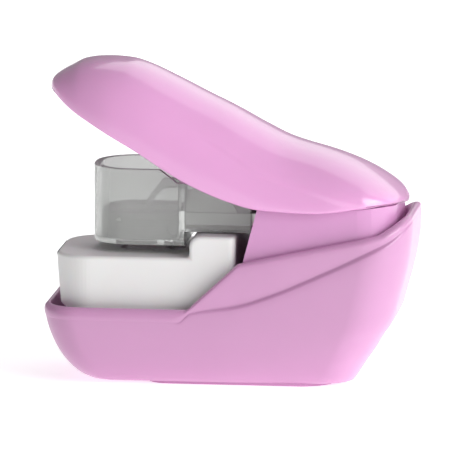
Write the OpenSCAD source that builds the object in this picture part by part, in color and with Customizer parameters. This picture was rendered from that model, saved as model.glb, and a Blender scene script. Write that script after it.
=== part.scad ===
// Staple-free paper binder. Origin: middle of the footprint, on the surface it stands on.
// +X points to the hinge end, -X to the nose, +Y to the far side, +Z up. All sizes in millimetres.

/* [Overall] */
// Length of the base from nose to heel
base_l = 78.6; // [76:0.2:100]
// Width of the base at its widest
base_w = 36; // [34:1:46]
// Height of the open handle's highest point
handle_h = 67.7; // [65:0.1:80]

/* [Base shell] */
// Wall of the base shell
shell_wall = 1.5; // [1.2:0.1:1.8]
// Height of the rim round the paper table
rim_front_h = 16.7; // [15:0.1:17.5]
// Height of the rim at the heel
rim_heel_h = 36.6; // [35.5:0.1:37.5]
// Step from the proud lower bulge to the recessed upper panel
panel_step = 0.8; // [0.3:0.1:0.9]
// Thickness of the ledge round the opening underneath
ledge_t = 2; // [1.5:0.1:2.4]
// Thickness of the bottom cover's flange, which the binder stands on
foot_t = 0.7; // [0.5:0.1:1.2]

/* [Paper table] */
// Height of the table top at rest
table_h = 27.2; // [26.8:0.1:28]
// Height of the shoulder behind the table top
shoulder_h = 31.9; // [31:0.1:32.2]
// Width of the table
table_w = 28; // [26:0.5:29]
// Wall of the table
table_wall = 1.6; // [1.2:0.1:2.2]
// Gap between the nose of the base and the table's front edge
nose_gap = 2.5; // [2.4:0.1:6]
// Where the shoulder starts
shoulder_x = -7.7; // [-8.5:0.1:-7]
// Where the shoulder ends
shoulder_end = 2.1; // [1.8:0.1:2.4]

/* [Clear guide] */
// Height of the cup's open rim
guide_h = 45.3; // [43:0.1:47]
// Paper gap between the table and the guide
paper_gap = 2; // [1.4:0.1:2.4]
// Outer width of the guide
guide_w = 20; // [19.5:0.5:22]
// Wall of the guide
guide_wall = 1.5; // [1.2:0.1:1.6]
// Front of the guide
guide_front = -29.5; // [-30.5:0.1:-28]
// Rear wall of the cup
cup_rear = -9.3; // [-9.6:0.1:-9]
// Rear end of the guide's side walls
guide_rear = 5; // [4:0.1:6]

/* [Blades] */
// Front of the tab cutter
tab_front = -23.5; // [-23.8:0.1:-22.5]
// Length of the cut tab
tab_l = 7.2; // [6:0.1:7.4]
// Width of the tab cutter
tab_w = 5.4; // [5:0.1:5.8]
// Place of the slit blade
slit_x = -12.8; // [-13.2:0.1:-12.4]
// Width of the slit blade
slit_w = 5.6; // [5:0.1:6]
// Thickness of both blades
blade_t = 0.5; // [0.4:0.1:0.6]
// Height of the blade tips, just under the table top
blade_tip = 25.9; // [25.4:0.1:26.2]

/* [Hinge] */
// Distance of the hinge from the heel
hinge_back = 9.8; // [9.4:0.1:10.4]
// Height of the hinge
hinge_z = 32.4; // [32:0.1:33]
// Diameter of the hinge pin
pin_d = 3; // [2.5:0.1:3.5]
// Distance from the hinge to the press roller
lever_arm = 25.8; // [25:0.1:27]
// Diameter of the press roller
roller_d = 4; // [3.6:0.1:4.4]

/* [Handle] */
// Wall of the handle cover
cover_wall = 1.8; // [1.4:0.1:1.8]
// Distance from the base's side in to the handle cover's side
cover_in = 0.7; // [0.3:0.1:0.8]
// Distance from the base's side in to the skirt under the handle
skirt_in = 3; // [2.9:0.1:3.2]
// Wall of the skirt
skirt_wall = 1.8; // [1.4:0.1:2]

/* [Springs and screws] */
// Diameter of the guide posts
post_d = 3; // [2.6:0.1:3.2]
// Outer diameter of the platform springs
spring_d = 7; // [6.8:0.1:7.2]
// Wire of the platform springs
wire_d = 0.7; // [0.5:0.1:0.8]
// Diameter of the screw threads
screw_d = 2; // [1.6:0.1:2.2]

/* [Hidden] */
$fn = 48;
eps = 0.01;
fit = 0.05;            // radial running clearance of pins
gap = 0.15;            // assembly clearance between parts that do not slide
pink = "#e8a5d8";
deep_pink = "#d88cc8";
clear_grey = [0.78, 0.8, 0.78, 0.55];

nose_x = -base_l / 2;
heel_x = base_l / 2;
hinge_x = heel_x - hinge_back;
cover_w = base_w - 2 * cover_in;
skirt_w = base_w - 2 * skirt_in;
table_front = nose_x + nose_gap;
table_bottom = rim_front_h - 1.5;
stroke = 7.4;                            // travel of the table
guide_z = table_h + paper_gap;
floor_z = foot_t + ledge_t + 0.05;       // underside of the chassis, on the shell's ledge
plate_t = 1.2;                           // sheet of the chassis
deck_z = floor_z + plate_t;              // top of the chassis floor
spacer_z = shoulder_h + 0.7;
spacer_t = 0.9;
track_z = spacer_z + spacer_t + 2.6;     // top of the pressure bracket, where the roller runs
sheet_t = 0.9;
spring_x = [-28, -4];                    // the two posts and their springs
press_x = hinge_x - lever_arm;
press_z = track_z + roller_d / 2 + 0.06;

// Smooth curve through points [x, y] in rising x, as a cubic with finite-difference slopes
function slope_at(p, i) =
    i == 0 ? (p[1][1] - p[0][1]) / (p[1][0] - p[0][0])
    : i == len(p) - 1 ? (p[i][1] - p[i - 1][1]) / (p[i][0] - p[i - 1][0])
    : (p[i + 1][1] - p[i - 1][1]) / (p[i + 1][0] - p[i - 1][0]);
function cell_of(p, x, i = 0) = (i >= len(p) - 2 || x < p[i + 1][0]) ? i : cell_of(p, x, i + 1);
function hermite(a, b, ma, mb, h, t) =
    a * (1 + 2 * t) * pow(1 - t, 2) + h * ma * t * pow(1 - t, 2)
    + b * t * t * (3 - 2 * t) + h * mb * t * t * (t - 1);
function curve(p, x) =
    x <= p[0][0] ? p[0][1] : x >= p[len(p) - 1][0] ? p[len(p) - 1][1]
    : let (i = cell_of(p, x), h = p[i + 1][0] - p[i][0], t = (x - p[i][0]) / h)
        hermite(p[i][1], p[i + 1][1], slope_at(p, i), slope_at(p, i + 1), h, t);

// ---- Base shell: columns round the plan, rows from the foot over the rim and down inside ----
// Distance of the nose, the heel and the side from their extremes, at height z
nose_in = [[0, 11], [0.8, 9.3], [1.7, 7.6], [3.5, 5.6], [5.2, 4.2], [6.9, 3.1], [8.7, 2.2], [10.4, 1.5],
    [12.1, 0.95], [13.9, 0.5], [15.6, 0.1], [17, 0], [40, 0]];
heel_in = [[0, 12.4], [0.6, 11.7], [2.3, 10.6], [4, 9.7], [5.8, 8.7], [7.5, 7.6], [9.2, 6.8], [11, 6],
    [12.7, 4.8], [14.4, 3.95], [16.2, 3.35], [17.9, 3], [21.4, 2], [24.8, 1.15], [28.3, 0.5], [31, 0.15],
    [33, 0], [40, 0.1]];
side_in = [[0, 5.2], [0.7, 4.4], [2, 2.8], [4, 1.7], [8, 0.6], [14, 0], [26, 0], [40, 0.4]];
nose_r = 8;
heel_r = 10;

// Rim height and crease height along x
panel_lo = shoulder_x + 1.2;             // foot of the slanted front edge of the raised panel
panel_hi = panel_lo + 10;
rim_line = [[nose_x, rim_front_h], [panel_lo, rim_front_h], [panel_hi, rim_heel_h - 9.9],
    [13, rim_heel_h - 7.8], [22, rim_heel_h - 5.9], [31, rim_heel_h - 4], [34, rim_heel_h - 3.4],
    [heel_x - 2.5, rim_heel_h - 1.7], [heel_x, rim_heel_h]];
crease_line = [[nose_x, rim_front_h - 1.2], [panel_lo, rim_front_h - 1.2], [5, rim_front_h + 0.9],
    [12.7, 20.3], [20.5, 23.9], [31, rim_heel_h - 7.4], [35, rim_heel_h - 5.2], [heel_x, rim_heel_h - 1.6]];
function rim_z(x) = lookup(x, rim_line);
function crease_z(x) = curve(crease_line, x);
function step_at(x) = lookup(x, [[panel_lo - 3, 0], [panel_lo, 0.2], [panel_hi, panel_step], [heel_x - 8, panel_step],
    [heel_x, 0.1]]);

straight_a = nose_x + nose_r;
straight_b = heel_x - heel_r;
straight_x = concat([for (k = [1:5]) straight_a + (panel_lo - straight_a) * k / 5 - eps],
    [for (k = [1:4]) panel_lo + (panel_hi - panel_lo) * k / 4],
    [for (k = [1:6]) panel_hi + (straight_b - panel_hi) * k / 7]);
function arc(cx, cy, r, a0, a1, n) = [for (k = [0:n]) let (a = a0 + (a1 - a0) * k / n)
    [cx + r * cos(a), cy + r * sin(a)]];
plan_half = concat(
    [for (k = [0:1]) [nose_x, (base_w / 2 - nose_r) * k / 2]],
    arc(nose_x + nose_r, base_w / 2 - nose_r, nose_r, 180, 90, 5),
    [for (x = straight_x) [x, base_w / 2]],
    arc(heel_x - heel_r, base_w / 2 - heel_r, heel_r, 90, 0, 6),
    [[heel_x, (base_w / 2 - heel_r) / 2], [heel_x, 0]]);
plan_ref = concat(plan_half, [for (k = [len(plan_half) - 2:-1:1]) [plan_half[k][0], -plan_half[k][1]]]);

// Point of the shell's skin in the plan direction of p, at height z, moved in by d
function skin(p, z, d) =
    let (a = nose_x + max(curve(nose_in, z), 0), b = heel_x - max(curve(heel_in, z), 0),
        half = base_w / 2 - max(curve(side_in, z), 0), u = p[0] / (base_l / 2), v = p[1] / (base_w / 2))
    [(a + b) / 2 + u * ((b - a) / 2 - d), v * (half - d), z];
open_a = nose_x + 15;
open_b = heel_x - 18;
open_half = base_w / 2 - 7;
function opening(p, z, d = 0) = [(open_a + open_b) / 2 + p[0] / (base_l / 2) * ((open_b - open_a) / 2 - d),
    p[1] / (base_w / 2) * (open_half - d), z];
function shell_column(p) =
    let (x = p[0], zr = rim_z(x), zc = min(crease_z(x), zr - 0.9), st = step_at(x), z0 = foot_t)
    concat([for (k = [0:6]) skin(p, z0 + (zc - z0) * pow(k / 6, 1.6), 0)],
        [skin(p, zc + 0.35, st), skin(p, zc + 0.35 + (zr - zc - 0.65) * 0.3, st * 0.6),
        skin(p, zr - 0.3, st * 0.3), skin(p, zr, st * 0.3 + 0.3),
        skin(p, zr, st * 0.3 + shell_wall - 0.3), skin(p, zr - 0.3, st * 0.3 + shell_wall),
        skin(p, zc + 0.1, st + shell_wall - 0.4)],
        [for (k = [3:-1:1]) skin(p, foot_t + ledge_t + (zc - 1.5 - foot_t - ledge_t) * pow(k / 3, 1.6),
            shell_wall)],
        [skin(p, foot_t + ledge_t, shell_wall), opening(p, foot_t + ledge_t), opening(p, foot_t)]);

// Closed skin over a ring of columns whose rows also close on themselves
module ring_solid(cols) {
    n = len(cols);
    m = len(cols[0]);
    polyhedron(points = [for (c = cols) for (q = c) q],
        faces = [for (i = [0:n - 1]) for (j = [0:m - 1])
            let (a = i * m + j, b = ((i + 1) % n) * m + j, c = ((i + 1) % n) * m + (j + 1) % m,
                d = i * m + (j + 1) % m)
            each [[a, b, c], [a, c, d]]], convexity = 8);
}

module base_shell() {
    color(pink) ring_solid([for (p = plan_ref) shell_column(p)]);
}

// ---- Small shared shapes ----
module rod_y(x, z, d, w, fn = 48) {
    translate([x, w / 2, z]) rotate([90, 0, 0]) cylinder(d = d, h = w, $fn = fn);
}

module tube_y(x, z, od, id, y0, y1) {
    translate([x, y1, z]) rotate([90, 0, 0]) difference() {
        cylinder(d = od, h = y1 - y0);
        translate([0, 0, -1]) cylinder(d = id, h = y1 - y0 + 2);
    }
}

module both_sides() {
    children();
    mirror([0, 1, 0]) children();
}

// Plate of thickness t lying in the XZ plane, from y to y + t
module side_plate(points, y, t) {
    translate([0, y + t, 0]) rotate([90, 0, 0]) linear_extrude(t) polygon(points);
}

// Rectangle from x0 to x1, w wide, with corner radii ra at x0 and rb at x1
module rounded_plan(x0, x1, w, ra, rb) {
    h = w / 2;
    polygon(concat(arc(x0 + ra, h - ra, ra, 180, 90, 8), arc(x1 - rb, h - rb, rb, 90, 0, 8),
        arc(x1 - rb, rb - h, rb, 0, -90, 8), arc(x0 + ra, ra - h, ra, -90, -180, 8)));
}

// Pan head screw with a cross recess: head underside at the origin, thread pointing down
module screw(len, head_d = 3.8, head_h = 1.2) {
    difference() {
        union() {
            cylinder(d = head_d, h = head_h);
            translate([0, 0, -len]) cylinder(d = screw_d, h = len + eps);
        }
        for (a = [0, 90]) rotate([0, 0, a]) translate([-1, -0.2, head_h - 0.6]) cube([2, 0.4, 1]);
    }
}

// Coil spring of round wire standing on z = 0, swept as a polyhedron
module coil(d, wire, h, turns, sides = 6, steps = 14) {
    n = ceil(turns * steps);
    r = (d - wire) / 2;
    rise = h - wire;
    pts = [for (i = [0:n]) let (a = 360 * turns * i / n, z = wire / 2 + rise * i / n)
        for (k = [0:sides - 1]) let (b = 360 * k / sides)
        [(r + wire / 2 * cos(b)) * cos(a), (r + wire / 2 * cos(b)) * sin(a), z + wire / 2 * sin(b)]];
    walls = [for (i = [0:n - 1]) for (k = [0:sides - 1])
        let (p = i * sides + k, q = i * sides + (k + 1) % sides)
        each [[p, q, q + sides], [p, q + sides, p + sides]]];
    polyhedron(points = pts, faces = concat(walls, [[for (k = [sides - 1:-1:0]) k]],
        [[for (k = [0:sides - 1]) n * sides + k]]), convexity = 10);
}

// ---- Base ----
screw_spots = [for (x = [open_a + 5, open_b - 5]) for (y = [-1, 1]) [x, y * (open_half - 3.5)]];

module bottom_cover() {
    flange_a = nose_x + 22;
    flange_b = heel_x - 16.2;
    color(deep_pink) difference() {
        union() {
            linear_extrude(foot_t) rounded_plan(flange_a, flange_b, base_w - 10.4, 5, 8);
            translate([0, 0, foot_t - eps]) linear_extrude(ledge_t + eps)
                polygon([for (p = plan_ref) let (q = opening(p, 0, gap)) [q[0], q[1]]]);
        }
        for (s = screw_spots) translate([s[0], s[1], -1]) {
            cylinder(d = screw_d + 0.2, h = 6);
            cylinder(d = 4, h = 2.3);
        }
        translate([open_a + 8, -5, foot_t + 0.8]) cube([open_b - open_a - 16, 10, 3]);
    }
}

cheek_y = base_w / 2 - 8.2;
lug_r = 2.95;                            // rounded top of each cheek
cheek_line = [[hinge_x - 18, floor_z], [hinge_x - 7.5, floor_z], [hinge_x + lug_r, hinge_z - 5],
    [hinge_x + lug_r, hinge_z - 0.01], [hinge_x - lug_r, hinge_z + 0.01], [hinge_x - 4.2, hinge_z - 3]];

module chassis() {
    color("silver") difference() {
        union() {
            translate([0, 0, floor_z]) linear_extrude(plate_t)
                rounded_plan(nose_x + 8.5, hinge_x - 7.5, 2 * cheek_y + 2 * plate_t + 3, 6, 1);
            both_sides() {
                side_plate(cheek_line, cheek_y, plate_t);
                translate([hinge_x, cheek_y + plate_t, hinge_z]) rotate([90, 0, 0])
                    cylinder(r = lug_r, h = plate_t);
            }
        }
        rod_y(hinge_x, hinge_z, pin_d + 2 * fit, base_w);
        for (s = screw_spots) translate([s[0], s[1], floor_z - 1]) cylinder(d = screw_d, h = 4);
        for (x = blade_screw_x) translate([x, 0, floor_z - 1]) cylinder(d = screw_d, h = 4);
        for (x = spring_x) translate([x, 0, floor_z - 1]) cylinder(d = 2, h = 4);
    }
}

module cover_screws() {
    color("gray") for (s = screw_spots) translate([s[0], s[1], 1.3]) mirror([0, 0, 1])
        screw(3, 3.6, 0.9);
}

blade_foot = 14.5;                       // top of the blade block, clear of the sunk die plate
blade_screw_x = [-20, -15.2];

module blade_block() {
    color("dimgray") difference() {
        translate([tab_front - 0.9, -5.5, deck_z]) cube([13.6, 11, blade_foot - deck_z]);
        tab_outline(-gap / 2, deck_z + 3, blade_foot + 1);
        translate([slit_x - blade_t / 2 - gap / 2, -slit_w / 2 - gap / 2, deck_z + 3])
            cube([blade_t + gap, slit_w + gap, 20]);
        for (x = blade_screw_x) translate([x, 0, deck_z - 1]) {
            cylinder(d = screw_d + 0.2, h = 20);
            translate([0, 0, 5]) cylinder(d = 4.1, h = 20);
        }
    }
}

// U-shaped band open to +X; a negative grow widens it into a slot
module tab_outline(grow, z0, z1) {
    translate([0, 0, z0]) linear_extrude(z1 - z0) difference() {
        translate([tab_front + grow, -tab_w / 2 + grow]) square([tab_l - 2 * grow, tab_w - 2 * grow]);
        translate([tab_front + blade_t - grow, -tab_w / 2 + blade_t - grow])
            square([tab_l + 10, tab_w - 2 * blade_t + 2 * grow]);
    }
}

module tab_cutter() {
    color("lightgray") difference() {
        tab_outline(0, deck_z + 3.1, blade_tip);
        side_plate([[tab_front - 1, blade_tip], [tab_front - 1, blade_tip + 1],
            [tab_front + tab_l + 1, blade_tip + 1], [tab_front + tab_l + 1, blade_tip - 2.2]], -5, 10);
    }
}

module slit_blade() {
    z0 = deck_z + 3.1;
    color("lightgray") translate([slit_x - blade_t / 2, 0, 0]) rotate([90, 0, 90])
        linear_extrude(blade_t) difference() {
            polygon([[-slit_w / 2, z0], [slit_w / 2, z0], [slit_w / 2, blade_tip - 2.2],
                [0, blade_tip], [-slit_w / 2, blade_tip - 2.2]]);
            translate([-1.9, blade_tip - 8]) square([3.8, 4.6]);
        }
}

module blade_screws() {
    color("gray") for (x = blade_screw_x) translate([x, 0, deck_z + 4]) screw(4.6, 3.6, 1.2);
}

module hinge_pin() {
    half = skirt_w / 2 - skirt_skin - 0.1;
    color("silver") difference() {
        rod_y(hinge_x, hinge_z, pin_d, 2 * half);
        both_sides() tube_y(hinge_x, hinge_z, pin_d + 2, pin_d - 0.5, clip_y - 0.05, clip_y + clip_t + 0.05);
    }
}

clip_y = cheek_y + plate_t + 0.2;
clip_t = 0.6;

module pin_clips() {
    color("gray") both_sides() difference() {
        tube_y(hinge_x, hinge_z, pin_d + 3, pin_d - 0.4, clip_y, clip_y + clip_t);
        translate([hinge_x - 0.9, clip_y - 1, hinge_z]) cube([1.8, 4, 5]);
    }
}

post_top = table_h - table_wall - stroke - 0.5;
spring_top = table_h - 2.8;              // spring seat under the die plate

module guide_posts() {
    color("silver") for (x = spring_x) translate([x, 0, deck_z]) {
        cylinder(d = post_d, h = post_top - deck_z);
        translate([0, 0, -plate_t]) cylinder(d = 1.96, h = plate_t + eps);
    }
}

module platform_springs() {
    color("silver") for (x = spring_x) translate([x, 0, deck_z + 0.02])
        coil(spring_d, wire_d, spring_top - deck_z - 0.04, 7);
}

// ---- Table that slides on the posts, and what it carries ----
guide_screw_spots = [[-3, -4.6], [-3, 4.6]];
sleeve_z = table_bottom - 1.6;

module table_side(d) {
    polygon([[table_front + (d > 0 ? 5 : 4.5), table_bottom - (d > 0 ? 1 : 0)],
        [table_front + d + 1.3, rim_front_h], [table_front + d, table_h - d],
        [shoulder_x + d, table_h - d], [shoulder_x + d, shoulder_h - d],
        [shoulder_end - d, shoulder_h - d], [shoulder_end - d, table_bottom - (d > 0 ? 1 : 0)]]);
}

module table_form(d) {
    intersection() {
        translate([0, table_w, 0]) rotate([90, 0, 0]) linear_extrude(2 * table_w) table_side(d);
        translate([0, 0, 5]) linear_extrude(40)
            rounded_plan(table_front + d, shoulder_end - d, table_w - 2 * d, 8 - d / 2, 1.5);
    }
}

module blade_slots(grow, z0, z1) {
    tab_outline(-grow, z0, z1);
    translate([slit_x - 1.4, -2, z0]) cube([4, 4, z1 - z0]);
    translate([slit_x - blade_t / 2 - grow, -slit_w / 2 - grow, z0])
        cube([blade_t + 2 * grow, slit_w + 2 * grow, z1 - z0]);
}

module paper_table() {
    color("white") difference() {
        union() {
            difference() {
                table_form(0);
                table_form(table_wall);
            }
            for (x = spring_x) translate([x, 0, sleeve_z])
                cylinder(d = post_d + 2.2, h = table_h - table_wall - sleeve_z + 0.3);
            translate([spring_x[1], 0, spring_top + 0.1])
                cylinder(d = spring_d, h = shoulder_h - table_wall - spring_top);
            for (s = guide_screw_spots) {
                translate([s[0], s[1], table_h - 2.4]) cylinder(d = 4.4, h = shoulder_h - table_h + 1.4);
                translate([s[0], s[1], shoulder_h - eps]) cylinder(d = 4, h = spacer_z - shoulder_h);
            }
        }
        for (x = spring_x) translate([x, 0, sleeve_z - 1])
            cylinder(d = post_d + 2 * fit + 0.1, h = post_top + stroke + 0.3 - sleeve_z + 1);
        blade_slots(0.2, table_bottom, table_h + 1);
        for (s = guide_screw_spots) translate([s[0], s[1], table_h - 2]) cylinder(d = screw_d, h = 10);
    }
}

module die_plate() {
    top = table_h - table_wall - 0.02;
    color("gray") difference() {
        translate([0, 0, top - 0.9]) linear_extrude(0.9)
            rounded_plan(table_front + 4, shoulder_x - 0.2, 16, 2, 1);
        blade_slots(0.15, top - 2, top + 1);
        for (x = spring_x) translate([x, 0, top - 2]) cylinder(d = post_d + 2.4, h = 4);
    }
}

cup_line = [[guide_front, guide_z], [cup_rear, guide_z], [cup_rear, shoulder_h + 0.3],
    [guide_rear, shoulder_h + 0.3], [guide_rear, track_z + 1.6], [-2, track_z + 3.5], [cup_rear + 1.6, guide_h - 3],
    [cup_rear - 1.6, guide_h - 2.8], [cup_rear - 3, guide_h - 1.6], [cup_rear - 5.2, guide_h],
    [guide_front, guide_h]];
inner_w = guide_w - 2 * guide_wall;

module clear_guide() {
    color(clear_grey) difference() {
        intersection() {
            translate([0, guide_w, 0]) rotate([90, 0, 0]) linear_extrude(2 * guide_w) polygon(cup_line);
            linear_extrude(60) rounded_plan(guide_front, guide_rear, guide_w, 8.5, 0.2);
        }
        translate([0, 0, guide_z + 1]) linear_extrude(60)
            rounded_plan(guide_front + guide_wall, cup_rear - 1.2, inner_w, 7, 0.2);
        translate([cup_rear, -inner_w / 2, spacer_z - 0.01]) cube([40, inner_w, 40]);
        translate([cup_rear - 3, -2.4, guide_z + 6.5]) cube([10, 4.8, 40]);
        blade_slots(0.3, guide_z - 1, guide_z + 2);
        for (s = guide_screw_spots) translate([s[0], s[1], 20]) cylinder(d = 4.4, h = 30);
    }
}

block_top = guide_z + 6.6;

module guide_block() {
    w = inner_w - 2 * gap;
    chan = slit_w + 1.2;
    color(clear_grey) difference() {
        translate([0, 0, guide_z + 1.02]) linear_extrude(block_top - guide_z - 1.02)
            rounded_plan(guide_front + guide_wall + gap, cup_rear - 1.2 - gap, w, 6.8, 0.2);
        translate([tab_front - 1, -chan / 2, guide_z]) cube([20, chan, 20]);
        both_sides() for (z = [guide_z + 2.2:1.3:block_top - 0.9])
            translate([-30, w / 2 - 0.45, z]) cube([40, 1, 0.5]);
        both_sides() translate([cup_rear - 2.6, w / 2 + 1, guide_z + 3]) rotate([90, 0, 0])
            cylinder(d = 2.4, h = 3);
    }
}

module spacer_plate() {
    color("#8a6a55") translate([0, 0, spacer_z + 0.01]) difference() {
        translate([cup_rear + 0.2, -8.2, 0]) cube([guide_rear - cup_rear - 0.4, 16.4, spacer_t]);
        for (s = guide_screw_spots) translate([s[0], s[1], -1]) cylinder(d = screw_d + 0.2, h = 4);
    }
}

fold_x = -8.2;
fold_z = track_z + 5.4;
ear_y = 6.6;

module pressure_bracket() {
    z0 = spacer_z + spacer_t + 0.02;
    end_x = press_x + 4;
    color("silver") difference() {
        union() {
            translate([cup_rear + 0.2, -8.2, track_z - sheet_t]) cube([end_x - cup_rear - 0.2, 16.4, sheet_t]);
            both_sides() {
                translate([cup_rear + 0.2, 8.2 - sheet_t, z0])
                    cube([end_x - cup_rear - 0.2, sheet_t, track_z - z0]);
                side_plate([[fold_x - 1, track_z - 0.2], [2, track_z - 0.2], [1, track_z + 1.6],
                    [fold_x + 3, track_z + 5], [fold_x + 1.8, fold_z + 1.2], [fold_x - 0.9, fold_z + 1.2]],
                    ear_y, sheet_t);
            }
        }
        for (s = guide_screw_spots) translate([s[0], s[1], 20]) cylinder(d = screw_d + 0.2, h = 40);
        rod_y(fold_x, fold_z, fold_d + 0.02, 40);
    }
}

module guide_screws() {
    color("gray") for (s = guide_screw_spots) translate([s[0], s[1], track_z + 0.02])
        screw(track_z - table_h + 1.5, 3.4, 1);
}

fold_d = 1.2;

module folder_pin() {
    color("silver") rod_y(fold_x, fold_z, fold_d, 2 * (ear_y + sheet_t) + 0.6);
}

module folder_spring() {
    color("silver") both_sides() translate([fold_x, 2.2, fold_z]) rotate([-90, 0, 0])
        coil(2.1, 0.4, 4.1, 4, 6, 12);
}

module tab_folder() {
    nose = [[0, 0.9], [-7, 0.2], [-9.9, -3.6], [-10.4, -5.4], [-9.6, -5.6], [-8.8, -4], [-6.4, -1.4], [0, -0.9]];
    color(clear_grey) translate([fold_x, 0, fold_z]) difference() {
        union() {
            side_plate(nose, -1.7, 3.4);
            rod_y(0, 0, 3, 3.9);
        }
        rod_y(0, 0, fold_d + 2 * fit, 10);
    }
}

// ---- Handle: stations along x, each a squircle arch from the near edge over the top ----
tip_x = nose_x + 0.5;
tail_x = heel_x - 1.8;
tip_z = handle_h - 5.9;
tail_z = 38.4;
top_line = [[tip_x, tip_z], [tip_x + 0.35, handle_h - 4.5], [tip_x + 1.2, handle_h - 3.6],
    [tip_x + 3.9, handle_h - 2], [tip_x + 7.1, handle_h - 0.5], [tip_x + 10.3, handle_h - 0.05],
    [tip_x + 12.5, handle_h], [tip_x + 16.7, handle_h - 0.3], [tip_x + 19.9, handle_h - 1.2],
    [tip_x + 26.4, handle_h - 4.1], [tip_x + 32.8, handle_h - 7.3], [tip_x + 39.2, handle_h - 10.4],
    [tail_x - 30.7, handle_h - 13.9], [tail_x - 25.4, handle_h - 16.5], [tail_x - 15.6, 48.2],
    [tail_x - 10.6, 46.2], [tail_x - 5.7, 43.5], [tail_x - 2.4, 41.2], [tail_x - 0.7, 39.5],
    [tail_x, tail_z]];
bottom_line = [[tip_x, tip_z], [tip_x + 0.6, tip_z - 0.55], [tip_x + 2, tip_z - 1.3],
    [tip_x + 5, tip_z - 3.35], [tip_x + 11.4, 54.8], [tip_x + 20, 50.1], [tip_x + 30.3, 43.9],
    [tail_x - 36.8, 40], [tail_x - 30.2, 38.3], [tail_x - 18.8, 37.7], [tail_x - 7.4, 38.8],
    [tail_x - 4, 39.05], [tail_x - 1, 38.8], [tail_x, tail_z]];
half_line = [[tip_x, 0], [tip_x + 0.3, 3.2], [tip_x + 1.3, 6.6], [tip_x + 3.6, 10.2], [tip_x + 8, 13.6],
    [tip_x + 15, 15.9], [tip_x + 26.8, 17.1], [tip_x + 38.8, 17.3], [tail_x - 15.5, 17.1],
    [tail_x - 8.5, 16.2], [tail_x - 4.5, 13.6], [tail_x - 1.9, 9.8], [tail_x - 0.5, 4.7], [tail_x, 0]];
squircle = 2.5;
function cover_half(x) = curve(half_line, x) * cover_w / 34.6;
function arch(xo, x, j, n, d) =
    let (a = 180 * j / n, c = cos(a), s = sin(a), w = max(cover_half(x) - d, 0.02),
        zb = curve(bottom_line, xo), zt = max(curve(top_line, x) - d, zb + 0.02))
    [xo, -sign(c) * w * pow(abs(c), 2 / squircle), zb + (zt - zb) * pow(abs(s), 2 / squircle)];
arch_n = 16;
stations = [for (k = [0:30]) tip_x + (tail_x - tip_x) * (1 - cos(180 * k / 30)) / 2];

module handle_cover() {
    n = arch_n + 1;
    last = len(stations) - 2;
    outer = [for (k = [1:last]) for (j = [0:arch_n]) arch(stations[k], stations[k], j, arch_n, 0)];
    in_a = tip_x + cover_wall;
    in_b = tail_x - cover_wall;
    inner = [for (k = [1:last]) let (x = in_a + (stations[k] - tip_x) * (in_b - in_a) / (tail_x - tip_x))
        for (j = [0:arch_n]) arch(x, x, j, arch_n, cover_wall)];
    m = len(outer);
    tips = [[tip_x, 0, tip_z], [tail_x, 0, tail_z], [in_a, 0, curve(bottom_line, in_a) + 0.01],
        [in_b, 0, curve(bottom_line, in_b) + 0.01]];
    skins = [for (k = [0:last - 2]) for (j = [0:arch_n - 1]) let (a = k * n + j)
        each [[a, a + 1, a + n + 1], [a, a + n + 1, a + n],
            [m + a, m + a + n + 1, m + a + 1], [m + a, m + a + n, m + a + n + 1]]];
    e = (last - 1) * n;
    caps = [for (j = [0:arch_n - 1]) each [[2 * m, j + 1, j], [2 * m + 1, e + j, e + j + 1],
        [2 * m + 2, m + j, m + j + 1], [2 * m + 3, m + e + j + 1, m + e + j]]];
    rim = [for (k = [0:last - 2]) let (a = k * n, b = k * n + arch_n)
        each [[a, a + n, m + a + n], [a, m + a + n, m + a],
            [b, m + b + n, b + n], [b, m + b, m + b + n]]];
    ends = [[2 * m, 0, m], [2 * m, m, 2 * m + 2], [2 * m, m + arch_n, arch_n], [2 * m, 2 * m + 2, m + arch_n],
        [2 * m + 1, m + e, e], [2 * m + 1, 2 * m + 3, m + e],
        [2 * m + 1, e + arch_n, m + e + arch_n], [2 * m + 1, m + e + arch_n, 2 * m + 3]];
    color(pink) polyhedron(points = concat(outer, inner, tips), faces = concat(skins, caps, rim, ends),
        convexity = 8);
}

web_half = skirt_w / 2 - 3.4;
function under_cover(x, y) = let (w = cover_half(x) - cover_wall, zb = curve(bottom_line, x),
    zt = curve(top_line, x) - cover_wall)
    zb + (zt - zb) * pow(max(1 - pow(y / w, squircle), 0), 1 / squircle);
function web_z(x) = under_cover(x, web_half) - 0.6;
web_x = [for (k = [0:6]) tip_x + 21.8 + (tail_x - 31.3 - tip_x) * k / 6];
web_t = 1.8;
rib_y = skirt_w / 2 - skirt_wall + 0.1;  // outer face of the ribs that carry the skirt
rib_x = [tail_x - 23.5, tail_x - 17.5, tail_x - 12.5];
skirt_x = panel_hi + 0.3;
skirt_line = concat([[skirt_x - 0.8, rim_front_h + 6.8], [skirt_x, panel_hi + 23], [skirt_x + 3.4, 39.3]],
    [for (k = [1:4]) let (x = skirt_x + 3.2 + (tail_x - skirt_x - 19) * k / 4) [x, curve(bottom_line, x) + 1]],
    [for (d = [13, 9.5, 6.5, 3.5, 1]) [tail_x - d, curve(bottom_line, tail_x - d) - 0.15]],
    [[heel_x - 1, 38.1], [heel_x - 1, 30.3], [hinge_x + 2, 27.7], [22, 27.1], [12, 24.9]]);

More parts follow.
